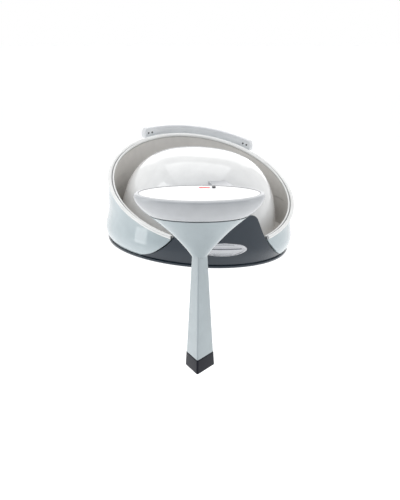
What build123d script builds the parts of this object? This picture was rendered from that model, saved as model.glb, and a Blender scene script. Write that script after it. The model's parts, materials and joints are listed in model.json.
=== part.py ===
"""Salon hood hair dryer on a double-swivel arm, in millimetres.

The origin is on the axis of the stand socket, at the bottom of the post. +Z is up, +Y runs from the
post towards the front of the hood, and +X is on the right of someone standing behind the dryer.
The hood is drawn about its own axis, with its rear at -Y and the underside of its base ring at z = 0,
and is then turned and leaned into place about its tilt axis.
"""
from build123d import *
from math import cos, radians, sin
import os

through = 400.0  # longer than anything that it cuts or reaches past

# ---- Post and stand socket ----
post_bottom_scale = 1.0
post_top_scale = 0.52
post_ridge = (-4.0, -30.0)
post_left = (-27.0, 14.0)
post_right = (29.0, 14.0)
post_back = (1.0, 23.0)
post_wall = 2.5
post_corner = 1.6
post_corner_growth = 2.4
neck_z = 224.0
cap_height = 28.0
cap_overhang = 0.8
socket_radius = 10.0
socket_length = 60.0
socket_wall = 2.5
grommet_wall = 3.0
grommet_height = 5.0

# ---- Cup and control drum, oval in plan ----
drum_centre_y = 8.0
cup_neck_half = 14.5
cup_height = 72.0
cup_top_z = neck_z + cup_height
cup_half_width = 88.0
cup_half_depth = 50.0
cup_wall = 2.5
cup_stations = ((0.2, 0.15, 0.15), (0.6, 0.53, 0.6), (1.0, 1.0, 1.0))
drum_height = 41.0
drum_top_z = cup_top_z + drum_height
drum_flare_width = 28.0
drum_half_width = cup_half_width + drum_flare_width
drum_flare_depth = 18.0
drum_half_depth = cup_half_depth + drum_flare_depth
drum_stations = ((0.0, 0.0), (0.35, 0.58), (0.7, 0.93), (1.0, 1.0))
drum_wall = 3.0
drum_edge_round = 3.5
panel_inset = 9.0
panel_thickness = 3.0
panel_drop = 0.6
panel_gap_around = 0.4
ledge_width = 6.0
ledge_thickness = 3.0

# ---- Controls, in a row along the near edge of the panel ----
control_row_inset = 16.0
control_row_y = drum_centre_y + drum_half_depth - panel_inset - control_row_inset
lens_x = 9.0
lens_length = 20.0
lens_width = 5.0
lens_corner = 2.0
lens_proud = 0.2
button_x = 26.0
button_radius = 3.4
button_proud = 1.4
button_collar = 1.2
button_clearance = 0.3
board_thickness = 1.6
board_drop = 8.0
board_side_room = 28.0
board_end_room = 20.0
board_post_radius = 3.5
relay_size = (22.0, 16.0, 5.0)
capacitor_radius = 6.0
board_post_spread = (55.0, 18.0)

# ---- Link arm between the cup and the hood ----
link_standoff = 30.0
link_base_y = drum_centre_y + cup_half_depth + link_standoff
link_reach_x = 54.0
link_reach_y = 51.6
link_thickness = 21.0
link_boss_radius = 14.0
link_step = 3.0
pin_radius = 6.0
pin_head = 3.0
bush_wall = 2.0
running_clearance = 0.05
lug_thickness = 7.0
face_clearance = 0.5
link_z = cup_top_z - lug_thickness - face_clearance - link_thickness
bracket_web = 4.0
bolt_spread = 7.0

# ---- Knuckle and tilt hinge ----
swivel_x = link_reach_x
swivel_y = link_base_y + link_reach_y
washer_thickness = 1.0
knuckle_base_z = link_z + link_thickness + washer_thickness + face_clearance
tilt_rise = 13.0
tilt_z = knuckle_base_z + tilt_rise
tilt_pin_radius = 5.0
eye_wall = 5.0
knuckle_width = 22.0
ear_thickness = 7.0
spindle_tail = 8.0
nut_height = 6.0
nut_grip = 4.0

# ---- Cowl, liner and rim; hood heights are above the underside of the base ring ----
cowl_radius = 205.0
cowl_wall = 4.0
cowl_bulge_room = 3.0
liner_wall = 3.0
liner_gap = 0.4
cowl_foot = 7.5
cowl_tuck = 5.0
cowl_bulge = 2.5
cowl_waist = 2.0
cowl_bulge_height = 32.0
cowl_waist_height = 66.0
cowl_straight_height = 104.0
rim_rear = 47.5
rim_side = 126.5
rim_front = 209.5
trim_height = 8.0
trim_proud = 2.5
seam_height = 95.5
seam_gap = 1.2

# ---- Hood placement ----
pivot_inset = 5.0
pivot_back = cowl_radius - pivot_inset
pivot_height = 153.5
hood_yaw = 13.6
hood_lean = 4.2

# ---- Rear panel, base ring and badge ----
base_thickness = 6.0
base_inset = 3.0
base_radius = cowl_radius - base_inset
base_round = 3.0
joint_gap = 0.2
panel_top = 108.5
panel_gap = 3.0
panel_wall = 4.0
panel_sides = ((160.0, 4.0), (130.0, 20.0), (98.0, 55.0), (70.0, 106.0))
panel_lean_in = 6.0
panel_over = 20.0
badge_half_width = 52.0
badge_half_height = 14.0
badge_height = 40.5
badge_thickness = 2.0

# ---- Dome, inner shell and seal ----
dome_front_gap = 4.6
dome_radius = 176.0
dome_forward = cowl_radius - cowl_wall - cowl_bulge_room - liner_gap - liner_wall - dome_front_gap - dome_radius
dome_crown = 206.0
dome_wall = 3.0
dome_squareness = 2.8
crown_space = 60.0
inner_gap = 38.0
inner_radius = dome_radius - inner_gap
inner_crown = dome_crown - crown_space
inner_wall = 2.5
inner_squareness = 2.6
flange_width = 11.0
flange_thickness = 3.0
air_hole_radius = 4.5
air_holes_per_row = 18
air_rows = ((45.5, 0.25), (72.5, 0.75), (98.5, 0.25))
air_hole_reach = 60.0
seal_wall = 4.0
seal_lip = 3.0
grille_height = 36.5
grille_thickness = 3.0
grille_slot_turns = range(-36, 37, 9)
slot_length = 22.0
slot_width = 8.0
screw_radius = 2.0
screw_head = 2.0
screw_clearance = 0.4
base_screw_inset = 16.0
base_screw_angles = (32, 56, 80, 104)
grille_post_radius = 5.5
grille_post_screw = 10.0

# ---- Front handle ----
handle_offset = 9.0
handle_half_angle = 36.0
handle_gap = 12.0
handle_depth = 20.0
handle_height = 28.0
handle_rise = 22.0
handle_lug_angle = 26.0
handle_lug_radius = 5.0
handle_lug_sink = 2.5
handle_screw_angles = (31.0, 33.6)
handle_screw_rise = 9.0
handle_screw_radius = 2.2
handle_screw_depth = 1.6

# ---- Heater, fan and motor, stacked under the crown of the dome ----
heater_gap = 4.0
heater_height = inner_crown + heater_gap
heater_thickness = 2.0
heater_inner = 72.0
heater_width = 56.0
heater_outer = heater_inner + heater_width
heater_wire = 4.0
coil_radii = (82.0, 96.0)
foot_ring = 80.0
foot_radius = 3.0
fan_gap = 6.0
fan_bottom = heater_height + fan_gap
fan_radius = heater_inner - 10.0
fan_blades = 16
fan_plate = 2.0
blade_height = 16.0
blade_length = 24.0
blade_thickness = 1.6
blade_angle = 35.0
hub_radius = 9.0
shaft_radius = 3.0
shaft_grip = 10.0
motor_gap = 4.0
motor_radius = 30.0
motor_bottom = fan_bottom + blade_height + fan_plate + motor_gap
motor_height = 17.0
mount_thickness = 2.5
mount_arm_width = 14.0
mount_leg = 3.0
mount_leg_ring = heater_outer - 20.0
thermostat_radius = 6.0
thermostat_ring = heater_outer - 9.0


# ---- Shared shapes ----
def rod(radius, bottom, top, x=0.0, y=0.0):
    """A vertical cylinder between two heights."""
    return Pos(x, y, bottom) * Cylinder(radius, top - bottom, align=(Align.CENTER, Align.CENTER, Align.MIN))


def tube(outer, inner, bottom, top, x=0.0, y=0.0):
    """A vertical tube between two heights."""
    return rod(outer, bottom, top, x, y) - rod(inner, bottom - 1, top + 1, x, y)


def polar(radius, angle):
    """A point at an angle from the rear of the hood, turning towards +X."""
    return radius * sin(radians(angle)), -radius * cos(radians(angle))


def spun(curve):
    """A closed radius-height outline turned about the vertical axis."""
    return revolve(Plane.XZ * make_face(curve), Axis.Z, 360)


def joined(solids):
    """Several separate solids kept as one piece."""
    return Compound(children=list(solids))


def at_swivel(shape):
    """A piece drawn about the swivel axis, moved there and turned to face the hood."""
    return Pos(swivel_x, swivel_y, 0) * Rot(0, 0, hood_yaw) * shape


def in_place(shape):
    """A hood piece moved from the hood's own frame to its place, leaning about the tilt hinge."""
    return at_swivel(Pos(0, pivot_back, tilt_z) * Rot(0, hood_lean, 0) * Pos(0, 0, -pivot_height) * shape)


def around_dome(shape):
    """A piece centred on the dome's axis, moved to that axis within the hood."""
    return Pos(0, dome_forward, 0) * shape


# ---- Post ----
def post_section(scale, inset, z):
    """The three-sided post section with its ridge at the rear and a bowed front face."""
    left, right = Vector(*post_left) * scale, Vector(*post_right) * scale
    ridge, back = Vector(*post_ridge) * scale, Vector(*post_back) * scale
    sides = Polyline(left, ridge, right)
    bow = ThreePointArc(right, back, left)
    outline = make_face([sides, bow])
    corners = outline.vertices().sort_by(Axis.Y)
    outline = fillet(corners, post_corner + post_corner_growth * scale)
    shifted = offset(outline, amount=-inset) if inset else outline
    return Pos(0, 0, z) * shifted


def scale_at(z):
    return post_bottom_scale + (post_top_scale - post_bottom_scale) * z / neck_z


def post_length(bottom, top, inset):
    """A straight tapered stretch of the post."""
    return loft([post_section(scale_at(bottom), inset, bottom), post_section(scale_at(top), inset, top)])


def post():
    body = post_length(cap_height, neck_z, 0) - post_length(cap_height - 1, neck_z + 1, post_wall)
    return body - rod(socket_radius + socket_wall, 0, socket_length)


def end_cap():
    """The dark shoe that closes the bottom of the post around the socket."""
    shoe = post_length(0, cap_height, -cap_overhang)
    return shoe - rod(socket_radius + socket_wall, -1, cap_height + 1)


def socket_bush():
    return tube(socket_radius + socket_wall, socket_radius, 0, socket_length)


def wire_grommet():
    return tube(socket_radius, socket_radius - grommet_wall, socket_length, socket_length + grommet_height)


# ---- Cup and control drum ----
def oval(half_width, half_depth, z):
    return Pos(0, drum_centre_y, z) * Ellipse(half_width, half_depth)


def cup_form(inset):
    """The flared goblet between the neck and the drum."""
    sections = [Pos(0, 0, neck_z) * Ellipse(cup_neck_half - inset, cup_neck_half - inset)]
    for share, spread, shift in cup_stations:
        half_width = cup_neck_half + (cup_half_width - cup_neck_half) * spread - inset
        half_depth = cup_neck_half + (cup_half_depth - cup_neck_half) * spread - inset
        height = neck_z + cup_height * share
        sections.append(Pos(0, drum_centre_y * shift, height) * Ellipse(half_width, half_depth))
    return loft(sections)


def cup():
    bolt_holes = [bracket_bolt(shift, screw_radius + screw_clearance) for shift in (-bolt_spread, bolt_spread)]
    return cup_form(0) - cup_form(cup_wall) - bolt_holes


def drum_form(inset):
    """The bowl-shaped drum body, widest just below its top edge."""
    sections = []
    for share, spread in drum_stations:
        half_width = cup_half_width + drum_flare_width * spread - inset
        half_depth = cup_half_depth + drum_flare_depth * spread - inset
        sections.append(oval(half_width, half_depth, cup_top_z + drum_height * share))
    return loft(sections)


def top_oval(gap, depth):
    """An oval space in the drum's top, from a depth below it to above it."""
    half_width = drum_half_width - panel_inset + gap
    half_depth = drum_half_depth - panel_inset + gap
    return extrude(oval(half_width, half_depth, drum_top_z - depth), depth + 1)


def drum():
    outer = drum_form(0)
    rounded = fillet(outer.edges().group_by(Axis.Z)[-1], drum_edge_round)
    cavity = drum_form(drum_wall) & (Pos(0, 0, cup_top_z + drum_wall) * drum_interior())
    recess = top_oval(panel_gap_around, panel_thickness) + top_oval(-ledge_width, panel_thickness + ledge_thickness)
    wire_hole = rod(socket_radius, cup_top_z - 1, cup_top_z + drum_wall + 1, 0, drum_centre_y)
    return rounded - cavity - recess - wire_hole


def drum_interior():
    """The space between the drum's floor and the underside of its ledge."""
    height = drum_height - panel_thickness - ledge_thickness - drum_wall
    return Box(through, through, height, align=(Align.CENTER, Align.CENTER, Align.MIN))


def control_panel():
    plate = top_oval(0, panel_thickness) & rod(through, 0, drum_top_z - panel_drop)
    window = Pos(lens_x, control_row_y, drum_top_z) * Box(
        lens_length + panel_gap_around, lens_width + panel_gap_around, through)
    hole = rod(button_radius + button_clearance, 0, through, button_x, control_row_y)
    return plate - window - hole


def indicator_lens():
    lens = Pos(lens_x, control_row_y, drum_top_z + lens_proud) * Box(
        lens_length, lens_width, panel_thickness + 1, align=(Align.CENTER, Align.CENTER, Align.MAX))
    return fillet(lens.edges().filter_by(Axis.Z), lens_corner)


def power_button():
    foot = drum_top_z - panel_thickness - 2 * button_collar
    head = rod(button_radius, foot, drum_top_z + button_proud, button_x, control_row_y)
    return head + rod(button_radius + button_collar, foot, foot + 2 * button_collar - panel_drop,
                      button_x, control_row_y)


def board_top():
    return drum_top_z - panel_thickness - board_drop


def control_board():
    top = board_top()
    board = extrude(oval(drum_half_width - board_side_room, drum_half_depth - board_end_room,
                         top - board_thickness), board_thickness)
    relay = Pos(-board_side_room, drum_centre_y, top) * Box(
        *relay_size, align=(Align.CENTER, Align.CENTER, Align.MIN))
    capacitor = rod(capacitor_radius, top, top + relay_size[2], socket_radius, drum_centre_y)
    return board + relay + capacitor


def board_posts():
    """Moulded spacers that carry the control board above the drum's floor."""
    spread_x, spread_y = board_post_spread
    return joined(
        rod(board_post_radius, cup_top_z + drum_wall, board_top() - board_thickness, side * spread_x,
            end * spread_y + drum_centre_y) for side in (-1, 1) for end in (-1, 1))


# ---- Bracket, link and knuckle ----
def bracket_bolt(shift, radius):
    """A hole through the cup's back wall for a bracket bolt, above or below the middle of the link."""
    height = link_z + link_thickness / 2 + shift
    return Pos(0, link_base_y - link_standoff, height) * Rot(90, 0, 0) * Cylinder(radius, 1.5 * link_standoff)


def lug(bottom, top):
    """One ear of the bracket, round about the pin."""
    back = link_boss_radius + bracket_web
    arm = Pos(0, link_base_y - back, bottom) * Box(
        2 * link_boss_radius, back, top - bottom, align=(Align.CENTER, Align.MIN, Align.MIN))
    return arm + rod(link_boss_radius, bottom, top, 0, link_base_y)


def arm_bracket():
    """The clevis bolted to the back of the cup."""
    low = link_z - face_clearance - lug_thickness
    high = link_z + link_thickness + face_clearance
    top = high + lug_thickness
    web_front = link_base_y - link_boss_radius - bracket_web
    web = Pos(0, web_front, low) * Box(
        2 * link_boss_radius, web_front, top - low, align=(Align.CENTER, Align.MAX, Align.MIN))
    ears = lug(low, low + lug_thickness) + lug(high, top)
    body = web + ears - rod(pin_radius, 0, through, 0, link_base_y)
    return body - cup_form(-joint_gap) - extrude(oval(cup_half_width, cup_half_depth, cup_top_z), through)


def link_pin():
    low = link_z - face_clearance - lug_thickness
    pin = rod(pin_radius, low, cup_top_z, 0, link_base_y)
    return pin + rod(pin_radius + pin_head, low - pin_head, low, 0, link_base_y)


def link_arm():
    """A flat bar with a round boss at each end."""
    run = Vector(link_reach_x, link_reach_y, 0)
    angle = run.get_signed_angle(Vector(1, 0, 0), Vector(0, 0, -1))
    bar = Pos(run.X / 2, link_base_y + run.Y / 2, link_z + link_step) * Rot(0, 0, angle) * Box(
        run.length, 1.5 * link_boss_radius, link_thickness - 2 * link_step,
        align=(Align.CENTER, Align.CENTER, Align.MIN))
    ends = [rod(link_boss_radius, link_z, link_z + link_thickness, *spot) for spot in link_ends()]
    bores = [rod(pin_radius + bush_wall, 0, through, *spot) for spot in link_ends()]
    return bar + ends - bores


def link_ends():
    return (0, link_base_y), (swivel_x, swivel_y)


def link_bushes():
    return joined(
        tube(pin_radius + bush_wall, pin_radius + running_clearance, link_z, link_z + link_thickness, *spot)
        for spot in link_ends())


def knuckle():
    """The swivelling block: a spindle down through the link, and an eye for the tilt pin above it."""
    eye_radius = tilt_pin_radius + eye_wall
    spindle = rod(pin_radius, link_z - spindle_tail, knuckle_base_z)
    block = Pos(0, 0, knuckle_base_z) * Box(
        knuckle_width, 2 * eye_radius, tilt_rise, align=(Align.CENTER, Align.CENTER, Align.MIN))
    eye = across(eye_radius, knuckle_width)
    bore = across(tilt_pin_radius + running_clearance, 3 * knuckle_width)
    return block + eye - bore + spindle


def across(radius, length, side=0.0):
    """A cylinder along the tilt axis, its middle to one side of the swivel axis."""
    return Pos(side, 0, tilt_z) * Rot(0, 90, 0) * Cylinder(radius, length)


def thrust_washer():
    return tube(link_boss_radius - 1, pin_radius + screw_clearance, knuckle_base_z - washer_thickness,
                knuckle_base_z)


def spindle_nut():
    top = link_z - face_clearance
    nut = Pos(0, 0, top - nut_height) * extrude(RegularPolygon(pin_radius + nut_grip, 6), nut_height)
    return nut - rod(pin_radius, 0, through)


def ear_start():
    return knuckle_width / 2 + face_clearance


def tilt_pin():
    return across(tilt_pin_radius, 2 * (ear_start() + ear_thickness + nut_height))


def tilt_nuts():
    """The round nuts that clamp the tilt pin in the hood's two ears."""
    middle = ear_start() + ear_thickness + nut_height / 2
    return joined(
        across(tilt_pin_radius + nut_grip, nut_height, side * middle) - across(tilt_pin_radius, through)
        for side in (-1, 1))


def hood_bracket():
    """Two ears on a back plate that is shaped to the rear of the dome."""
    outer = ear_start() + ear_thickness
    eye_radius = tilt_pin_radius + eye_wall
    reach = pivot_back
    body = Part()
    for side in (-1, 1):
        middle = side * (ear_start() + outer) / 2
        bar = Pos(middle, 0, tilt_z) * Box(
            ear_thickness, reach, 2 * eye_radius, align=(Align.CENTER, Align.MIN, Align.CENTER))
        body += bar + across(eye_radius, ear_thickness, middle)
    plate = Pos(0, link_boss_radius + bracket_web, tilt_z) * Box(
        2 * outer, reach, 2 * eye_radius, align=(Align.CENTER, Align.MIN, Align.CENTER))
    placed = at_swivel(body + plate - across(tilt_pin_radius, through))
    return placed - in_place(around_dome(dome_form(joint_gap) + rod(inner_radius, 0, through)))


# ---- Dome and inner shell ----
def dome_solid(radius, bottom, crown, squareness):
    """A squarish dome of revolution from its foot to its crown."""
    points = []
    for share in (0.0, 0.35, 0.6, 0.78, 0.9, 1.0):
        reach = radius * (1 - share ** squareness) ** (1 / squareness)
        points.append((reach, bottom + (crown - bottom) * share))
    crown_arc = Spline(*points, tangents=[(0, 1), (-1, 0)])
    return spun([crown_arc, Line((0, crown), (0, bottom)), Line((0, bottom), (radius, bottom))])


def dome_bottom():
    return base_thickness + joint_gap


def dome_form(grow):
    return dome_solid(dome_radius + grow, dome_bottom(), dome_crown + grow, dome_squareness)


def dome_shell():
    inside = dome_solid(dome_radius - dome_wall, dome_bottom() - 1, dome_crown - dome_wall, dome_squareness)
    return around_dome(dome_form(0) - inside)


def inner_form(inset):
    return dome_solid(inner_radius - inset, dome_bottom(), inner_crown - inset, inner_squareness)


def inner_shell():
    """The perforated shell that blows warm air over the head."""
    shell = inner_form(0) - inner_form(inner_wall)
    flange = tube(inner_radius + flange_width, inner_radius - inner_wall / 2, dome_bottom(),
                  dome_bottom() + flange_thickness)
    cutters = []
    for height, stagger in air_rows:
        for index in range(air_holes_per_row):
            turn = 360 * (index + stagger) / air_holes_per_row
            aim = Pos(0, 0, height) * Rot(0, 0, turn) * Rot(0, 90, 0)
            cutters.append(aim * Pos(0, 0, inner_radius) * Cylinder(air_hole_radius, air_hole_reach))
    return around_dome(shell + flange - cutters)


def edge_seal():
    """The soft lip around the opening for the head."""
    return around_dome(tube(inner_radius + seal_wall, inner_radius - inner_wall - 1, -seal_lip,
                            base_thickness - joint_gap))


# ---- Cowl ----
def under_rim(shift):
    """Everything below the swept rim line, moved up or down by a shift."""
    low, side, high = rim_rear + shift, rim_side + shift, rim_front + shift
    line = ThreePointArc((-cowl_radius, low), (0, side), (cowl_radius, high))
    rest = Polyline((cowl_radius, high), (through, high), (through, -through), (-through, -through),
                    (-through, low), (-cowl_radius, low))
    return extrude(Plane.YZ * make_face([line, rest]), through, both=True)


def rear_zone(gap):
    """The flared space at the rear that the dark panel fills."""
    side = Spline(*[(half + gap, height) for half, height in panel_sides])
    foot, neck = panel_sides[0], panel_sides[-1]
    other = Spline(*[(-half - gap, height) for half, height in reversed(panel_sides)])
    bottom = Polyline((-foot[0] - gap, foot[1]), (-foot[0] - gap, -through), (foot[0] + gap, -through),
                      (foot[0] + gap, foot[1]))
    top = Polyline((neck[0] + gap, neck[1]), (neck[0] + gap, through), (-neck[0] - gap, through),
                   (-neck[0] - gap, neck[1]))
    return extrude(Plane.XZ * make_face([bottom, side, top, other]), through)


def cowl_outline(inner):
    """The waisted, bulged wall of the cowl from its foot to above the rim."""
    top = rim_front + 2 * trim_height
    wall = Spline(
        (cowl_radius - cowl_tuck, cowl_foot), (cowl_radius + cowl_bulge, cowl_bulge_height),
        (cowl_radius - cowl_waist, cowl_waist_height), (cowl_radius, cowl_straight_height), tangents=[(1, 1), (0, 1)])
    rest = Polyline((cowl_radius, cowl_straight_height), (cowl_radius, top), (inner, top), (inner, cowl_foot),
                    (cowl_radius - cowl_tuck, cowl_foot))
    return spun([wall, rest])


def cowl_inside():
    return cowl_radius - cowl_wall - cowl_bulge_room


def cowl_shell():
    shell = cowl_outline(cowl_inside()) & under_rim(-trim_height / 2)
    return shell - rear_zone(panel_gap)


def liner_outer():
    return cowl_inside() - liner_gap


def liner(bottom, top):
    wall = tube(liner_outer(), liner_outer() - liner_wall, bottom, top) & under_rim(-trim_height / 2)
    return wall - rear_zone(panel_gap + 2)


def liner_lower():
    return liner(base_thickness + joint_gap, seam_height)


def liner_upper():
    return liner(seam_height + seam_gap, through)


def rim_trim():
    """The piping that caps the cowl and its liner."""
    band = tube(cowl_radius + trim_proud, liner_outer() - liner_wall - 1, 0, through)
    cap = band & under_rim(trim_height / 2)
    return cap - under_rim(joint_gap - trim_height / 2) - rear_zone(panel_gap)


# ---- Rear panel, base and badge ----
def panel_outline(outer_shift, inner_shift):
    """The convex dark wall between the base ring and the panel's top."""
    foot, top = base_thickness + joint_gap, panel_top + panel_over
    inside = cowl_radius - panel_lean_in - inner_shift
    outer = Spline(
        (base_radius - base_round + outer_shift, foot), (cowl_radius + outer_shift, cowl_bulge_height),
        (cowl_radius - cowl_waist + outer_shift, cowl_waist_height),
        (cowl_radius - panel_lean_in + outer_shift, top))
    inner = Polyline(
        (cowl_radius - panel_lean_in + outer_shift, top), (inside, top), (inside, foot),
        (base_radius - base_round + outer_shift, foot))
    return spun([outer, inner])


def rear_panel():
    return panel_outline(0, panel_wall) & rear_zone(0) & rod(through, 0, panel_top)


def badge():
    """A plain oval plaque that follows the panel's curve."""
    oval_bar = extrude(Plane.XZ * Pos(0, badge_height) * Ellipse(badge_half_width, badge_half_height), through)
    skin = panel_outline(badge_thickness, 0) - panel_outline(joint_gap, panel_wall)
    return skin & oval_bar


def base_ring():
    plate = rod(base_radius, 0, base_thickness)
    ring = plate - around_dome(rod(inner_radius + seal_wall + panel_gap_around, -1, through))
    ring = fillet(ring.edges().group_by(Axis.Z)[0].sort_by(SortBy.LENGTH)[-1], base_round)
    return ring - [rod(screw_radius + screw_clearance, -1, through, *spot) for spot in screw_spots()]


def screw_spots():
    """Where the base screws stand, under the posts of the grille."""
    ring = base_radius - base_screw_inset
    return [polar(ring, side * angle) for side in (-1, 1) for angle in base_screw_angles]


def base_screws():
    return joined(
        rod(screw_radius, 0, base_thickness + grille_post_screw, *spot)
        + rod(2 * screw_radius, -screw_head, 0, *spot) for spot in screw_spots())


def intake_grille():
    """The floor of the trough between the dome and the cowl, slotted at the rear."""
    outer = liner_outer() - liner_wall - liner_gap
    plate = rod(outer, grille_height, grille_height + grille_thickness)
    plate = plate - around_dome(rod(dome_radius + liner_gap, 0, through))
    ring = (dome_radius - dome_forward + outer) / 2
    slot = Pos(0, -ring, grille_height) * Box(slot_width, slot_length, 3 * grille_thickness)
    return plate - [Rot(0, 0, turn) * slot for turn in grille_slot_turns]


def grille_posts():
    """Pillars that carry the grille above the base ring, each over a base screw."""
    return joined(
        rod(grille_post_radius, base_thickness, grille_height, *spot)
        - rod(screw_radius, 0, base_thickness + grille_post_screw, *spot) for spot in screw_spots())


# ---- Front handle ----
def handle_turn():
    return 180 - handle_offset


def handle_sector(half_angle):
    """A wedge of space about the handle's middle."""
    points = [(0, 0)]
    points += [polar(through, handle_turn() + half_angle * share) for share in (-1, -0.5, 0, 0.5, 1)]
    return extrude(make_face(Polyline(*points, close=True)), through)


def handle_bar():
    """The curved grip outside the front of the rim, on two lugs."""
    inner = cowl_radius + handle_gap
    band = tube(inner + handle_depth, inner, 0, through)
    bar = band & under_rim(handle_rise) & handle_sector(handle_half_angle)
    bar = bar - under_rim(handle_rise - handle_height)
    for side in (-1, 1):
        bar += handle_lug(side * handle_lug_angle)
    return bar - [handle_screw(*spot, screw_clearance) for spot in handle_screw_spots()]


def rim_height(angle):
    """Height of the rim line at an angle from the rear."""
    forward = -cos(radians(angle))
    middle = (rim_rear + rim_front) / 2
    return middle + (rim_front - rim_rear) / 2 * forward + (rim_side - middle) * (1 - forward ** 2)


def spoke(radius, length, distance, angle, height):
    """A cylinder that points at the hood's axis, its middle at a distance from it."""
    x, y = polar(distance, angle)
    return Pos(x, y, height) * Rot(0, 0, angle) * Rot(90, 0, 0) * Cylinder(radius, length)


def handle_lug(angle):
    """A short round lug between the rim's piping and the handle."""
    turn = handle_turn() + angle
    length = handle_gap - trim_proud + handle_lug_sink
    distance = cowl_radius + trim_proud + length / 2
    return spoke(handle_lug_radius, length, distance, turn, rim_height(turn) - handle_lug_radius)


def handle_screw_spots():
    return [(side * angle, handle_screw_rise) for side in (-1, 1) for angle in handle_screw_angles]


def handle_screw(angle, lift, clearance):
    """A short cylinder let into the handle's inner face."""
    turn = handle_turn() + angle
    distance = cowl_radius + handle_gap + handle_screw_depth / 2
    return spoke(handle_screw_radius + clearance, handle_screw_depth + clearance, distance, turn,
                 rim_height(turn) + lift)


def handle_screws():
    return joined(handle_screw(*spot, 0) for spot in handle_screw_spots())


# ---- Fan, motor and heater ----
def fan_impeller():
    plate_z = fan_bottom + blade_height
    plate = rod(fan_radius, plate_z, plate_z + fan_plate)
    hub = rod(hub_radius, fan_bottom, plate_z + fan_plate)
    blades = []
    for index in range(fan_blades):
        blade = Pos(0, fan_radius - blade_length / 2 - fan_plate, fan_bottom) * Rot(0, 0, blade_angle) * Box(
            blade_thickness, blade_length, blade_height, align=(Align.CENTER, Align.CENTER, Align.MIN))
        blades.append(Rot(0, 0, 360 * index / fan_blades) * blade)
    return around_dome(plate + hub + blades - rod(shaft_radius, 0, through))


def fan_shaft():
    return around_dome(rod(shaft_radius, fan_bottom - fan_plate, motor_bottom + shaft_grip))


def fan_motor():
    body = rod(motor_radius, motor_bottom, motor_bottom + motor_height)
    body = fillet(body.edges().group_by(Axis.Z)[-1], base_round)
    return around_dome(body - rod(shaft_radius + running_clearance, 0, motor_bottom + shaft_grip + 2))


def motor_mount():
    """The three-armed spider that carries the motor on the heater frame."""
    z = motor_bottom - mount_thickness
    ring = tube(motor_radius, hub_radius + mount_leg, z, z + mount_thickness)
    seat = heater_height + heater_thickness
    arms = Part()
    for turn in (90, 210, 330):
        arm = Pos(0, motor_radius - mount_leg, z) * Box(
            mount_arm_width, mount_leg_ring - motor_radius + mount_leg, mount_thickness,
            align=(Align.CENTER, Align.MIN, Align.MIN))
        leg = Pos(0, mount_leg_ring, seat) * Box(
            mount_arm_width, mount_leg, z - seat + mount_thickness, align=(Align.CENTER, Align.MAX, Align.MIN))
        arms += Rot(0, 0, turn) * (arm + leg)
    return around_dome(ring + arms)


def heater_frame():
    """The mica ring that carries the heating coils, its four feet standing on the inner shell."""
    ring = tube(heater_outer, heater_inner, heater_height, heater_height + heater_thickness)
    feet = [rod(foot_radius, inner_crown / 2, heater_height, *polar(foot_ring, turn))
            for turn in (45, 135, 225, 315)]
    return around_dome(ring + feet - inner_form(0))


def heater_coils():
    z = heater_height + heater_thickness + heater_wire
    return around_dome(joined(Pos(0, 0, z) * Torus(radius, heater_wire) for radius in coil_radii))


def thermostat():
    seat = heater_height + heater_thickness
    return around_dome(rod(thermostat_radius, seat, seat + thermostat_radius, *polar(thermostat_ring, 20)))


arm_parts = {
    "post": post,
    "end_cap": end_cap,
    "socket_bush": socket_bush,
    "wire_grommet": wire_grommet,
    "cup": cup,
    "drum": drum,
    "control_panel": control_panel,
    "indicator_lens": indicator_lens,
    "power_button": power_button,
    "control_board": control_board,
    "board_posts": board_posts,
    "arm_bracket": arm_bracket,
    "link_pin": link_pin,
    "link_arm": link_arm,
    "link_bushes": link_bushes,
    "hood_bracket": hood_bracket,
}

swivel_parts = {
    "knuckle": knuckle,
    "thrust_washer": thrust_washer,
    "spindle_nut": spindle_nut,
    "tilt_pin": tilt_pin,
    "tilt_nuts": tilt_nuts,
}

hood_parts = {
    "dome_shell": dome_shell,
    "inner_shell": inner_shell,
    "edge_seal": edge_seal,
    "cowl_shell": cowl_shell,
    "liner_lower": liner_lower,
    "liner_upper": liner_upper,
    "rim_trim": rim_trim,
    "rear_panel": rear_panel,
    "badge": badge,
    "base_ring": base_ring,
    "base_screws": base_screws,
    "intake_grille": intake_grille,
    "grille_posts": grille_posts,
    "handle_bar": handle_bar,
    "handle_screws": handle_screws,
    "fan_impeller": fan_impeller,
    "fan_shaft": fan_shaft,
    "fan_motor": fan_motor,
    "motor_mount": motor_mount,
    "heater_frame": heater_frame,
    "heater_coils": heater_coils,
    "thermostat": thermostat,
}

os.makedirs("parts", exist_ok=True)
for name, make in arm_parts.items():
    export_step(make(), f"parts/{name}.step")
for name, make in swivel_parts.items():
    export_step(at_swivel(make()), f"parts/{name}.step")
for name, make in hood_parts.items():
    export_step(in_place(make()), f"parts/{name}.step")
print("tilt hinge", swivel_x, swivel_y, tilt_z)
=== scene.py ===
"""Looks of a salon hood hair dryer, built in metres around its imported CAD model."""

import json
from math import asin, cos, exp, pi, radians, sin, sqrt

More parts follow.
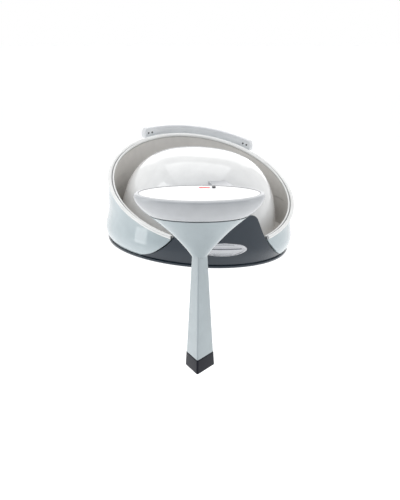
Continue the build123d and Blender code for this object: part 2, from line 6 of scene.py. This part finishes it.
import bmesh
import bpy
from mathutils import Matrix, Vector


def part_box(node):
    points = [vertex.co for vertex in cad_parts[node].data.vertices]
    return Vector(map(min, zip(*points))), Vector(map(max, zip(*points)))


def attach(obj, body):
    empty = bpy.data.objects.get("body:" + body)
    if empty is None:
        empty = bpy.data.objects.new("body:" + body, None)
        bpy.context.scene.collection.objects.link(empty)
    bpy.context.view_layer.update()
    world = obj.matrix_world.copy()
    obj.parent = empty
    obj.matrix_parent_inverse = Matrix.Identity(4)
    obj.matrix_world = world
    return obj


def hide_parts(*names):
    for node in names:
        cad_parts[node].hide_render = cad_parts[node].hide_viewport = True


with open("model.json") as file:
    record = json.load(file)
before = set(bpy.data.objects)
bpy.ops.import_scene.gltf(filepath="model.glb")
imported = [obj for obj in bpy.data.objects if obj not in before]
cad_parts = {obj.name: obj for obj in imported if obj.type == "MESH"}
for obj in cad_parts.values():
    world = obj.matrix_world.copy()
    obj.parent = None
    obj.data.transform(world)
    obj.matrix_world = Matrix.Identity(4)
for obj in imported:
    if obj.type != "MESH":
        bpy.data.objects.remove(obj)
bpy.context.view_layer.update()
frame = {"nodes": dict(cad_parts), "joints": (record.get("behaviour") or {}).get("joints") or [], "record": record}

MM = 0.001


# ---- Places and sizes read from the CAD frame ----
def middle(node):
    low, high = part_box(node)
    return (low + high) / 2


def half_size(node):
    low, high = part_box(node)
    return (high - low) / 2


def joint(name):
    return next(entry for entry in frame["joints"] if entry["name"] == name)


TILT_AXIS = Vector(joint("hood_tilt")["axis"]).normalized()
UP = Vector(joint("fan_spin")["axis"]).normalized()
AHEAD = Vector((-TILT_AXIS.y, TILT_AXIS.x, 0)).normalized()
SIDE = AHEAD.cross(UP)
BASE_HALF = 3 * MM
HOOD = middle("base_ring") - UP * BASE_HALF
DOME_FORWARD = (middle("edge_seal") - HOOD).dot(AHEAD)
SEAL_RADIUS = half_size("edge_seal").x
NECK_Z, CUP_TOP_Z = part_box("cup")[0].z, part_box("cup")[1].z
CUP_HALF = half_size("cup")
DRUM_TOP_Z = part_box("drum")[1].z
DRUM_HALF = half_size("drum")
DRUM_MIDDLE = middle("drum")
PANEL_HALF = half_size("control_panel")
CAP_TOP_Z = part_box("end_cap")[1].z

# ---- Sizes of the hood ----
# Heights are measured from the underside of the base ring, along the hood's own axis.
BASE_TOP = 2 * BASE_HALF
BASE_RADIUS = 202 * MM
FOOT = BASE_TOP + 0.2 * MM
COWL_RADIUS = 205 * MM
COWL_WALL = ((7.5, 200), (17, 205), (32, 207.3), (66, 203), (104, 204.7), (226, 204.7))
COWL_GAP = 3 * MM
COWL_LOW = 7.5 * MM
COWL_INNER = 198 * MM
LINER_OUTER = 197.6 * MM
LINER_INNER = 194.6 * MM
LINER_GAP = 5 * MM
THINNEST = 0.4 * MM
SEAM_LOW, SEAM_HIGH = 95.8 * MM, 96.4 * MM
RIM_REAR, RIM_SIDE, RIM_FRONT = 47.5 * MM, 126.5 * MM, 209.5 * MM
TRIM_HALF = 4 * MM
PANEL_HIGH = 108.5 * MM
PANEL_WALL = ((6.2, 199), (32, 205), (66, 203), (128.5, 199))
PANEL_SIDES = ((4, 160), (20, 130), (55, 98), (106, 70))
BADGE_HEIGHT = 40.5 * MM
DOME_RADIUS = 176 * MM
DOME_CROWN = 206 * MM
DOME_WALL = 3 * MM
DOME_SQUARENESS = 2.8
HANDLE_TURN = radians(180 - 9)
HANDLE_RADIUS = COWL_RADIUS + 22 * MM


# ---- Mesh helpers ----
def on_hood(angle, radius, height, forward=0.0):
    """A point at an angle from the rear of the hood, turning towards the right of someone behind it."""
    return HOOD + SIDE * radius * sin(angle) + AHEAD * (forward - radius * cos(angle)) + UP * height


def make_object(name, points, faces, material, body, replaces=(), bevel=0.0):
    """One piece from points and faces, with its material, its body and the CAD nodes that it replaces."""
    mesh = bpy.data.meshes.new(name)
    mesh.from_pydata([tuple(p) for p in points], [], faces)
    mesh.validate()
    mesh.update()
    piece = bpy.data.objects.new(name, mesh)
    bpy.context.scene.collection.objects.link(piece)
    mesh.shade_smooth()
    recalculate(mesh)
    mesh.set_sharp_from_angle(angle=radians(50))
    mesh.materials.append(MATERIALS[material])
    if bevel:
        rounded = piece.modifiers.new("rounded", "BEVEL")
        rounded.width = bevel
        rounded.segments = 3
        rounded.limit_method = "ANGLE"
        rounded.angle_limit = radians(50)
        rounded.harden_normals = True
    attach(piece, body)
    if replaces:
        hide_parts(*replaces)
    return piece


def recalculate(mesh):
    """Faces of a closed mesh turned outwards."""
    work = bmesh.new()
    work.from_mesh(mesh)
    bmesh.ops.remove_doubles(work, verts=work.verts, dist=1e-7)
    bmesh.ops.recalc_face_normals(work, faces=work.faces)
    work.to_mesh(mesh)
    work.free()


def slab(name, outer, inner, material, body, **options):
    """A closed sheet between two grids of points, with all four edges filled."""
    columns, rows = len(outer), len(outer[0])
    points = [p for column in outer for p in column] + [p for column in inner for p in column]
    half = columns * rows

    def at(column, row, side):
        return side * half + column * rows + row

    faces = []
    for c in range(columns - 1):
        for r in range(rows - 1):
            faces.append((at(c, r, 0), at(c + 1, r, 0), at(c + 1, r + 1, 0), at(c, r + 1, 0)))
            faces.append((at(c, r, 1), at(c, r + 1, 1), at(c + 1, r + 1, 1), at(c + 1, r, 1)))
        for r in (0, rows - 1):
            faces.append((at(c, r, 0), at(c, r, 1), at(c + 1, r, 1), at(c + 1, r, 0)))
    for r in range(rows - 1):
        for c in (0, columns - 1):
            faces.append((at(c, r, 0), at(c, r + 1, 0), at(c, r + 1, 1), at(c, r, 1)))
    return make_object(name, points, faces, material, body, **options)


def rings(name, loops, material, body, closed=False, **options):
    """A surface through a stack of closed loops, capped at its ends unless it closes on itself."""
    count = len(loops[0])
    points = [p for loop in loops for p in loop]
    faces = []
    spans = len(loops) if closed else len(loops) - 1
    for k in range(spans):
        below, above = k * count, (k + 1) % len(loops) * count
        for i in range(count):
            j = (i + 1) % count
            faces.append((below + i, below + j, above + j, above + i))
    if not closed:
        faces.append(tuple(range(count)))
        faces.append(tuple(range((len(loops) - 1) * count, len(loops) * count)))
    return make_object(name, points, faces, material, body, **options)


def smooth_through(knots, value):
    """A smooth curve through (position, result) knots, flat at both ends where they level out."""
    if value <= knots[0][0]:
        return knots[0][1]
    for index in range(len(knots) - 1):
        (x0, y0), (x1, y1) = knots[index], knots[index + 1]
        if value <= x1:
            before = knots[index - 1] if index else knots[0]
            after = knots[index + 2] if index + 2 < len(knots) else knots[-1]
            slope0 = (y1 - before[1]) / (x1 - before[0])
            slope1 = (after[1] - y0) / (after[0] - x0)
            span = x1 - x0
            t = (value - x0) / span
            return ((2 * t ** 3 - 3 * t ** 2 + 1) * y0 + (t ** 3 - 2 * t ** 2 + t) * span * slope0
                    + (3 * t ** 2 - 2 * t ** 3) * y1 + (t ** 3 - t ** 2) * span * slope1)
    return knots[-1][1]


def profile(knots, height):
    """The reach at a height of a smooth curve through (height, reach) knots in millimetres."""
    return smooth_through([(knot * MM, reach * MM) for knot, reach in knots], height)


def steps(low, high, count):
    """Evenly spaced values from low to high, with both ends."""
    return [low + (high - low) * k / (count - 1) for k in range(count)]


# ---- Materials ----
MATERIALS = {}


GRAIN_FINENESS = 30
RELIEF_DEPTH = 0.4 * MM


def material(name, colour, roughness, metallic=0.0, specular=0.5, coat=0.0, scale=40.0, spread=0.05,
             bump=0.02, variation=0.03, stretch=(1, 1, 1), emission=0.0, coat_roughness=0.05):
    """A surface whose tone, roughness and relief vary over fine noise."""
    made = bpy.data.materials.new(name)
    made.use_nodes = True
    nodes, links = made.node_tree.nodes, made.node_tree.links
    shader = nodes["Principled BSDF"]
    shader.inputs["Metallic"].default_value = metallic
    shader.inputs["Coat Weight"].default_value = coat
    shader.inputs["Specular IOR Level"].default_value = specular
    shader.inputs["Coat Roughness"].default_value = coat_roughness
    place = nodes.new("ShaderNodeTexCoord")
    mapping = nodes.new("ShaderNodeMapping")
    mapping.inputs["Scale"].default_value = stretch
    links.new(place.outputs["Object"], mapping.inputs["Vector"])
    cloud = nodes.new("ShaderNodeTexNoise")
    cloud.inputs["Scale"].default_value = scale
    cloud.inputs["Detail"].default_value = 6
    links.new(mapping.outputs["Vector"], cloud.inputs["Vector"])
    grain = nodes.new("ShaderNodeTexNoise")
    grain.inputs["Scale"].default_value = scale * GRAIN_FINENESS
    grain.inputs["Detail"].default_value = 3
    links.new(mapping.outputs["Vector"], grain.inputs["Vector"])
    tone = nodes.new("ShaderNodeValToRGB")
    darker = [max(0.0, c * (1 - variation)) for c in colour]
    lighter = [min(1.0, c * (1 + variation)) for c in colour]
    tone.color_ramp.elements[0].position = 0.35
    tone.color_ramp.elements[0].color = (*darker, 1)
    tone.color_ramp.elements[1].position = 0.65
    tone.color_ramp.elements[1].color = (*lighter, 1)
    links.new(cloud.outputs["Fac"], tone.inputs["Fac"])
    links.new(tone.outputs["Color"], shader.inputs["Base Color"])
    gloss = nodes.new("ShaderNodeMapRange")
    gloss.inputs["To Min"].default_value = max(0.02, roughness - spread)
    gloss.inputs["To Max"].default_value = min(1.0, roughness + spread)
    links.new(grain.outputs["Fac"], gloss.inputs["Value"])
    links.new(gloss.outputs["Result"], shader.inputs["Roughness"])
    relief = nodes.new("ShaderNodeBump")
    relief.inputs["Strength"].default_value = bump
    relief.inputs["Distance"].default_value = RELIEF_DEPTH
    links.new(grain.outputs["Fac"], relief.inputs["Height"])
    links.new(relief.outputs["Normal"], shader.inputs["Normal"])
    if emission:
        shader.inputs["Emission Color"].default_value = (*colour, 1)
        shader.inputs["Emission Strength"].default_value = emission
    MATERIALS[name] = made


material("light_shell", (0.50, 0.57, 0.59), 0.12, coat=0.6)
material("white_shell", (0.80, 0.80, 0.79), 0.10, coat=0.7)
material("dark_shell", (0.020, 0.032, 0.046), 0.10, coat=0.35, specular=0.4)
material("liner", (0.70, 0.675, 0.64), 0.42, scale=60, bump=0.15)
material("trim", (0.86, 0.86, 0.84), 0.18, coat=0.4)
# The dark grey that fills the rim's gap and the gap round the drum's inset panel, as painted shade.
material("seam_grey", (0.16, 0.16, 0.165), 0.5)
material("arm_paint", (0.40, 0.46, 0.48), 0.14, coat=0.7)
material("drum_shell", (0.50, 0.515, 0.53), 0.24, coat=0.3, bump=0.06)
material("panel_white", (0.84, 0.84, 0.84), 0.12, coat=0.3)
material("red_lens", (0.75, 0.03, 0.02), 0.12, coat=0.5, emission=0.6)
material("button_dark", (0.03, 0.03, 0.035), 0.40)
material("cap_dark", (0.006, 0.007, 0.014), 0.34, bump=0.12, specular=0.18)
material("steel", (0.55, 0.56, 0.58), 0.30, metallic=1.0, stretch=(1, 1, 12), bump=0.05)
material("bronze", (0.55, 0.38, 0.16), 0.34, metallic=1.0)
material("black_plastic", (0.025, 0.025, 0.028), 0.45, bump=0.2)
material("rubber", (0.030, 0.030, 0.032), 0.65, bump=0.3)
material("badge", (0.52, 0.53, 0.55), 0.16, metallic=1.0, bump=0.1)
material("mica", (0.30, 0.25, 0.17), 0.60, scale=120, variation=0.25)
material("coil", (0.22, 0.20, 0.19), 0.45, metallic=1.0)
material("board", (0.02, 0.12, 0.05), 0.35, scale=90, variation=0.2)
material("handle", (0.74, 0.75, 0.76), 0.20, coat=0.4)


def dress_cad_nodes():
    """Each CAD node in the material that its record names."""
    for entry in frame["record"]["subparts"]:
        node = frame["nodes"][entry["node"]]
        node.data.materials.clear()
        node.data.materials.append(MATERIALS[entry["material_slot"]])


# ---- Dome ----
def dome_reach(share):
    return DOME_RADIUS * (1 - share ** DOME_SQUARENESS) ** (1 / DOME_SQUARENESS)


def dome_loops(inset, count=144, rows=72):
    """Closed loops from the dome's foot to just short of its crown, set in by a wall."""
    loops = []
    for k in range(rows):
        share = sin(pi / 2 * k / rows) ** 0.8
        height = FOOT + (DOME_CROWN - inset - FOOT) * share
        reach = max(dome_reach(share) - inset, 0.4 * MM)
        loops.append([on_hood(2 * pi * i / count, reach, height, DOME_FORWARD) for i in range(count)])
    return loops


def build_dome():
    outside, inside = dome_loops(0.0), dome_loops(DOME_WALL)
    rings("dome", inside[::-1] + outside, "white_shell", "hood", replaces=["dome_shell"])


# ---- Cowl, liner and rim ----
def rim_height(angle):
    """Height of the swept rim line at an angle from the rear."""
    forward = -cos(angle)
    centre = (RIM_REAR + RIM_FRONT) / 2
    return centre + (RIM_FRONT - RIM_REAR) / 2 * forward + (RIM_SIDE - centre) * (1 - forward * forward)


def panel_half(height):
    """Half of the rear panel's width at a height."""
    return profile(PANEL_SIDES, height)


def cowl_radius(height):
    """The waisted, bulged wall of the cowl."""
    return profile(COWL_WALL, height)


def lower_edge(angle, gap, low, radius=COWL_RADIUS):
    """Height of the wall's lower edge at an angle: level, then sweeping up to the rim at the rear."""
    turn = min(angle, 2 * pi - angle)
    reach = radius * sin(turn)
    if turn > radians(60) or reach > panel_half(low) + gap:
        return low
    heights = steps(low, PANEL_SIDES[-1][0] * MM, 199)
    return next((z for z in heights if panel_half(z) + gap <= reach), heights[-1])


def tip_angle(gap, radius, drop):
    """The angle where the wall's lower edge meets the rim."""
    turns = steps(radians(20), radians(50), 601)
    return next(t for t in turns if lower_edge(t, gap, COWL_LOW, radius) <= rim_height(t) - drop - 0.6 * MM)


def wall_grid(angles, low_of, high_of, radius_of, rows):
    """Columns of points up an upright wall, one at each angle."""
    grid = []
    for angle in angles:
        low, high = low_of(angle), high_of(angle)
        column = []
        for share in steps(0, 1, rows):
            height = low + (high - low) * share
            column.append(on_hood(angle, radius_of(height), height))
        grid.append(column)
    return grid


def sweep_angles(start, count=220):
    """Angles from one rear tip round the front to the other, closer together at the tips."""
    crowding = 0.6
    shares = [t - sin(2 * pi * t) / (2 * pi) * crowding for t in steps(0, 1, count)]
    return [start + (2 * pi - 2 * start) * share for share in shares]


def build_cowl():
    angles = sweep_angles(tip_angle(COWL_GAP, COWL_RADIUS, TRIM_HALF))

    def low(angle):
        return lower_edge(angle, COWL_GAP, COWL_LOW)

    def high(angle):
        return max(rim_height(angle) - TRIM_HALF, low(angle) + 0.6 * MM)

    outer = wall_grid(angles, low, high, cowl_radius, 64)
    inner = wall_grid(angles, low, high, lambda z: COWL_INNER, 64)
    slab("cowl", outer, inner, "light_shell", "hood", replaces=["cowl_shell"], bevel=0.8 * MM)


def liner_low(angle):
    return lower_edge(angle, LINER_GAP, FOOT, LINER_OUTER)


def liner_top(angle):
    return max(rim_height(angle) - TRIM_HALF - 0.2 * MM, liner_low(angle) + THINNEST)


def build_liner(name, node, angles, low_of, high_of):
    """One sheet of the liner, between two heights at each angle."""
    outer = wall_grid(angles, low_of, high_of, lambda z: LINER_OUTER, 24)
    inner = wall_grid(angles, low_of, high_of, lambda z: LINER_INNER, 24)
    slab(name, outer, inner, "liner", "hood", replaces=[node], bevel=THINNEST)


def build_liners():
    """The lower sheet runs up to the seam, and the upper one from the seam to the rim."""
    lower_angles = sweep_angles(tip_angle(LINER_GAP, LINER_OUTER, TRIM_HALF))
    build_liner("liner_low", "liner_lower", lower_angles, liner_low, lambda a: min(liner_top(a), SEAM_LOW))

    turns = steps(radians(20), radians(120), 401)
    first = next(t for t in turns if rim_height(t) - TRIM_HALF > SEAM_HIGH + 1.2 * MM)
    build_liner("liner_high", "liner_upper", sweep_angles(first), lambda a: SEAM_HIGH,
                lambda a: max(liner_top(a), SEAM_HIGH + THINNEST))


def rim_bead(name, radius, lift, wide, tall, material_name, replaces=()):
    """A rounded bead that follows the rim line, at a radius and a lift above the line."""
    start = tip_angle(COWL_GAP, COWL_RADIUS, TRIM_HALF)
    turns = [2 * pi * k / 20 for k in range(20)]
    loops = []
    for angle in sweep_angles(start, 260):
        height = rim_height(angle) + lift
        loops.append([on_hood(angle, radius + wide * cos(t), height + tall * sin(t)) for t in turns])
    rings(name, loops, material_name, "hood", replaces=replaces)


def build_rim():
    rim_bead("rim_piping", 203.4 * MM, 0.0, 3.9 * MM, 3.9 * MM, "trim", replaces=["rim_trim"])
    # A dark grey bead sunk between the piping and the inner bead: painted shade standing in for the shadow in the
    # rim's gap.
    rim_bead("rim_gap_shade", 198.6 * MM, -1.2 * MM, 2.2 * MM, 2.4 * MM, "seam_grey")
    rim_bead("rim_inner_bead", 196.0 * MM, -0.6 * MM, 2.2 * MM, 3.2 * MM, "trim")


# ---- Rear panel, badge and base ring ----
def panel_radius(height):
    """The convex face of the rear panel."""
    return profile(PANEL_WALL, height)


def build_rear_panel():
    """The dark convex panel, its two upper corners rounded."""
    corner = 10 * MM
    inside = COWL_RADIUS - 10 * MM
    outer, inner = [], []
    for across in steps(-1, 1, 97):
        outer_column, inner_column = [], []
        for share in steps(0, 1, 60):
            height = FOOT + (PANEL_HIGH - FOOT) * share
            from_top = PANEL_HIGH - height
            rounding = corner - sqrt(corner ** 2 - (corner - from_top) ** 2) if from_top < corner else 0
            side = across * (panel_half(height) - 0.5 * MM - rounding)
            radius = panel_radius(height)
            outer_column.append(on_hood(asin(side / radius), radius, height))
            inner_column.append(on_hood(asin(side / inside), inside, height))
        outer.append(outer_column)
        inner.append(inner_column)
    slab("panel", outer, inner, "dark_shell", "hood", replaces=["rear_panel"], bevel=1.2 * MM)


def build_badge():
    """A plain oval plaque with a raised border and plain ribs, shrinking loop by loop to its middle."""
    half_wide, half_tall = 51.5 * MM, 13.8 * MM
    rib_spacing, ribbed_share = 0.36 * half_tall, 0.78
    rounds = 26
    turns = [2 * pi * i / 120 for i in range(120)]
    back = []
    for turn in turns:
        height = BADGE_HEIGHT + half_tall * sin(turn)
        aside = asin(half_wide * cos(turn) / panel_radius(BADGE_HEIGHT))
        back.append(on_hood(aside, panel_radius(height) + 0.25 * MM, height))
    loops = [back]
    for share in (1 - k / rounds for k in range(rounds)):
        border = 0.7 * exp(-((share - 0.9) / 0.05) ** 2)
        edge = 0.8 * min(1.0, (1 - share) / 0.04)
        loop = []
        for turn in turns:
            up = half_tall * share * sin(turn)
            ribs = 0.5 * max(0.0, cos(up / rib_spacing * pi)) if share < ribbed_share else 0.0
            radius = panel_radius(BADGE_HEIGHT + up) + (0.3 + edge + border + ribs) * MM
            aside = asin(half_wide * share * cos(turn) / radius)
            loop.append(on_hood(aside, radius, BADGE_HEIGHT + up))
        loops.append(loop)
    rings("plaque", loops, "badge", "hood", replaces=["badge"])


def build_base_ring():
    """The dark floor of the hood, between its rounded rim and the opening for the head."""
    count = 200
    inside = SEAL_RADIUS + 0.6 * MM
    section = ((0, 0.40), (0.012, 0.12), (0.04, 0), (0.9, 0), (1, 0), (1, 1), (0.9, 1), (0.05, 1),
               (0.02, 0.96), (0, 0.8))
    loops = []
    for i in range(count):
        angle = 2 * pi * i / count
        outer, inner = on_hood(angle, BASE_RADIUS, 0), on_hood(angle, inside, 0, DOME_FORWARD)
        across = inner - outer
        loops.append([outer + across * share + UP * BASE_TOP * height for share, height in section])
    rings("base", loops, "dark_shell", "hood", closed=True, replaces=["base_ring"])


# ---- Cup, drum and control panel ----
def oval_loop(half_wide, half_deep, height, centre_y, count=144):
    """A level oval across the arm's middle."""
    turns = [2 * pi * i / count for i in range(count)]
    return [Vector((half_wide * cos(t), centre_y + half_deep * sin(t), height)) for t in turns]


def build_cup():
    neck = 14.5 * MM
    wall = 2.5 * MM
    spread_knots = [(0.0, 0.0), (0.2, 0.15), (0.6, 0.53), (1.0, 1.0)]
    shift_knots = [(0.0, 0.0), (0.2, 0.15), (0.6, 0.6), (1.0, 1.0)]

    def loops(inset):
        made = []
        for share in steps(0, 1, 48):
            spread = smooth_through(spread_knots, share)
            shift = smooth_through(shift_knots, share)
            made.append(oval_loop(
                neck + (CUP_HALF.x - neck) * spread - inset, neck + (CUP_HALF.y - neck) * spread - inset,
                NECK_Z + (CUP_TOP_Z - NECK_Z) * share, DRUM_MIDDLE.y * shift))
        return made

    outside, inside = loops(0.0), loops(wall)
    rings("goblet", inside[::-1] + outside, "arm_paint", "arm", replaces=["cup"], bevel=0.5 * MM)


def drum_half(share):
    """The drum's half width and half depth at a share of its height."""
    spread = smooth_through([(0.0, 0.0), (0.35, 0.58), (0.7, 0.93), (1.0, 1.0)], share)
    half = CUP_HALF + (DRUM_HALF - CUP_HALF) * spread
    return half.x, half.y


def build_drum():
    """The drum's outer wall, its rolled top edge and the step down to the inset panel."""
    gap, ledge = 0.6 * MM, 8 * MM
    low = CUP_TOP_Z + 1.4 * MM
    loops = [oval_loop(CUP_HALF.x - ledge, CUP_HALF.y - ledge, low + 2 * MM, DRUM_MIDDLE.y),
             oval_loop(CUP_HALF.x - ledge, CUP_HALF.y - ledge, low, DRUM_MIDDLE.y)]
    roll = 5 * MM
    for share in steps(0, 1, 40):
        height = low + (DRUM_TOP_Z - roll - low) * share
        wide, deep = drum_half((height - CUP_TOP_Z) / (DRUM_TOP_Z - CUP_TOP_Z))
        ease = 1.2 * MM * max(0.0, 1 - share * 12)
        loops.append(oval_loop(wide - ease, deep - ease, height, DRUM_MIDDLE.y))
    wide, deep = drum_half(1 - roll / (DRUM_TOP_Z - CUP_TOP_Z))
    for turn in steps(0.1, pi / 2, 10):
        inset = roll * (1 - cos(turn)) * 1.2
        height = DRUM_TOP_Z - roll * (1 - sin(turn))
        loops.append(oval_loop(wide - inset, deep - inset, height, DRUM_MIDDLE.y))
    for inset, drop in ((-gap, 0.2 * MM), (-gap, 3 * MM), (ledge, 3 * MM), (ledge, 5 * MM)):
        loops.append(oval_loop(PANEL_HALF.x - inset, PANEL_HALF.y - inset, DRUM_TOP_Z - drop, DRUM_MIDDLE.y))
    rings("drum_bowl", loops, "drum_shell", "arm", closed=True, replaces=["drum"])


def build_panel_gap_shade():
    """A dark grey ring laid in the gap around the inset panel: painted shade for the gap's shadow."""
    loops = []
    for turn in (2 * pi * k / 12 for k in range(12)):
        grow = 0.4 * MM + 0.55 * MM * cos(turn)
        height = DRUM_TOP_Z - 0.5 * MM + 0.5 * MM * sin(turn)
        loops.append(oval_loop(PANEL_HALF.x + grow, PANEL_HALF.y + grow, height, DRUM_MIDDLE.y))
    rings("panel_gap_shade", loops, "seam_grey", "arm", closed=True)


# ---- Post and end cap ----
POST_CORNERS = ((-27.0, 14.0), (-4.0, -30.0), (29.0, 14.0), (14.5, 21.0), (1.0, 23.0), (-13.0, 21.0))
POST_TOP_SCALE = 0.52
POST_BEVEL = 0.3 * MM


def post_outline(scale, grow, rounding, per_corner=10):
    """The three-sided section with a ridge at the rear, its corners rounded."""
    corners = [Vector((x, y, 0)) * scale * MM for x, y in POST_CORNERS]
    centre = Vector((0, 3 * MM * scale, 0))
    outline = []
    for index, corner in enumerate(corners):
        before, after = corners[index - 1], corners[(index + 1) % len(corners)]
        cut = min(rounding * scale, 0.3 * (before - corner).length, 0.3 * (after - corner).length)
        start = corner + (before - corner).normalized() * cut
        end = corner + (after - corner).normalized() * cut
        for t in steps(0, 1, per_corner):
            point = start * (1 - t) ** 2 + corner * 2 * t * (1 - t) + end * t ** 2
            outline.append(point + (point - centre).normalized() * grow)
    return outline


def post_loop(height, grow):
    """The post's section at a height, grown or shrunk from its middle."""
    scale = 1 + (POST_TOP_SCALE - 1) * height / NECK_Z
    return [Vector((p.x, p.y, height)) for p in post_outline(scale, grow, 5 * MM)]


def build_post():
    outside = [post_loop(z, 0.0) for z in steps(CAP_TOP_Z, NECK_Z, 24)]
    inside = [post_loop(z, -2.4 * MM) for z in steps(NECK_Z, CAP_TOP_Z, 6)]
    rings("post_skin", outside + inside, "arm_paint", "arm", closed=True, replaces=["post"], bevel=POST_BEVEL)


def build_end_cap():
    """The dark shoe at the post's foot, with a bore for the stand."""
    edge, proud, bore_radius = 1.6 * MM, 0.8 * MM, 12.6 * MM
    loops = [post_loop(0.0, -4 * MM)]
    for turn in reversed(steps(0, pi / 2, 6)):
        loops.append(post_loop(edge * (1 - sin(turn)), proud - edge * (1 - cos(turn)) * 0.9))
    loops += [post_loop(z, proud) for z in steps(4 * MM, CAP_TOP_Z - proud, 8)]
    loops += [post_loop(CAP_TOP_Z, 0.2 * MM), post_loop(CAP_TOP_Z, -2 * MM)]
    bore = [Vector((p.x, p.y - 2 * MM, 0)).normalized() * bore_radius for p in loops[0]]
    for height in (CAP_TOP_Z, 0.0):
        loops.append([Vector((p.x, p.y, height)) for p in bore])
    rings("foot_cap", loops, "cap_dark", "arm", closed=True, replaces=["end_cap"], bevel=POST_BEVEL)


# ---- Front handle ----
def squared(value):
    """A sine or cosine flattened towards its ends, so that a loop of them is a rounded rectangle."""
    return abs(value) ** 0.45 * (1 if value > 0 else -1)


def handle_loop(angle, centre, half_deep, half_tall, count=72):
    """One rounded section of the grip, across its depth and height."""
    turns = [2 * pi * k / count for k in range(count)]
    return [on_hood(angle, HANDLE_RADIUS + half_deep * squared(cos(t)), centre + half_tall * squared(sin(t)))
            for t in turns]


def build_grip():
    """The curved bar outside the rim, narrowing over a short rounded end."""
    half_angle, end = radians(36), 7 * MM
    half_deep, half_tall, rise = 9.8 * MM, 13.4 * MM, 8 * MM
    reach = half_angle * HANDLE_RADIUS
    loops = []
    for t in steps(-1, 1, 181):
        angle = HANDLE_TURN + half_angle * t * 0.998
        from_end = reach * (1 - abs(t)) + 0.3 * MM
        taper = sqrt(max(0.05, 1 - ((end - from_end) / end) ** 2)) if from_end < end else 1.0
        centre = rim_height(angle) + rise
        loops.append(handle_loop(angle, centre, half_deep * (0.5 + 0.5 * taper), half_tall * taper))
    rings("grip", loops, "handle", "hood", replaces=["handle_bar"])


def build_lug(side):
    """A waisted round pillar between the rim and the grip."""
    angle = HANDLE_TURN + radians(26) * side
    loops = []
    for share, size in ((0, 1.15), (0.1, 1.08), (0.3, 1.0), (0.8, 1.0), (1.0, 1.08)):
        radius = COWL_RADIUS + (2.6 + 11 * share) * MM
        turns = [2 * pi * k / 40 for k in range(40)]
        loops.append([on_hood(angle + 4.3 * MM * size * cos(t) / radius, radius,
                              rim_height(angle) - 5 * MM + 4.3 * MM * size * sin(t)) for t in turns])
    rings(f"grip_lug_{'left' if side > 0 else 'right'}", loops, "handle", "hood")


dress_cad_nodes()
build_dome()
build_cowl()
build_liners()
build_rim()
build_rear_panel()
build_badge()
build_base_ring()
build_cup()
build_drum()
build_panel_gap_shade()
build_post()
build_end_cap()
build_grip()
build_lug(-1)
build_lug(1)


# ---- Stage, light and camera ----
def build_floor():
    size, depth = 80.0, -0.62
    bpy.ops.mesh.primitive_plane_add(size=size, location=(0, 0, depth))
    floor = bpy.context.object
    floor.name = "studio_floor"
    material("floor", (0.93, 0.93, 0.93), 0.8, variation=0.01, scale=3, emission=0.35)
    floor.data.materials.append(MATERIALS["floor"])


def area_light(name, place, aim, size, power, colour=(1, 1, 1)):
    light = bpy.data.lights.new(name, "AREA")
    light.shape = "RECTANGLE"
    light.size, light.size_y = size
    light.energy = power
    light.color = colour
    lamp = bpy.data.objects.new(name, light)
    lamp.location = place
    lamp.rotation_euler = (Vector(aim) - Vector(place)).to_track_quat("-Z", "Y").to_euler()
    bpy.context.scene.collection.objects.link(lamp)


def build_light():
    world = bpy.data.worlds.new("studio")
    world.use_nodes = True
    nodes, links = world.node_tree.nodes, world.node_tree.links
    place = nodes.new("ShaderNodeTexCoord")
    split = nodes.new("ShaderNodeSeparateXYZ")
    links.new(place.outputs["Generated"], split.inputs["Vector"])
    ramp = nodes.new("ShaderNodeValToRGB")
    ramp.color_ramp.elements[0].position = 0.25
    ramp.color_ramp.elements[0].color = (0.30, 0.32, 0.35, 1)
    ramp.color_ramp.elements[1].position = 0.62
    ramp.color_ramp.elements[1].color = (1, 1, 1, 1)
    span = nodes.new("ShaderNodeMapRange")
    span.inputs["From Min"].default_value = -1
    span.inputs["From Max"].default_value = 1
    links.new(split.outputs["Y"], span.inputs["Value"])
    links.new(span.outputs["Result"], ramp.inputs["Fac"])
    links.new(ramp.outputs["Color"], nodes["Background"].inputs["Color"])
    nodes["Background"].inputs["Strength"].default_value = 1.0
    bpy.context.scene.world = world
    target = (0.0, 0.3, 0.25)
    area_light("overhead", (0.0, 0.4, 2.2), target, (2.2, 2.2), 16)
    area_light("left_strip", (-1.7, -0.3, 0.9), target, (0.6, 2.0), 9)
    area_light("right_strip", (1.7, -0.3, 0.9), target, (0.5, 2.0), 4)
    area_light("front_fill", (0.0, 2.2, 0.9), target, (2.4, 1.4), 6)


def build_camera():
    camera = bpy.data.cameras.new("camera")
    camera.sensor_width = 36
    camera.lens = 50.4
    holder = bpy.data.objects.new("camera", camera)
    holder.location = (1 * MM, -1192 * MM, 621 * MM)
    holder.rotation_euler = (radians(90 - 18), 0, 0)
    bpy.context.scene.collection.objects.link(holder)
    bpy.context.scene.camera = holder


build_floor()
build_light()
build_camera()
bpy.context.scene.view_settings.view_transform = "Standard"
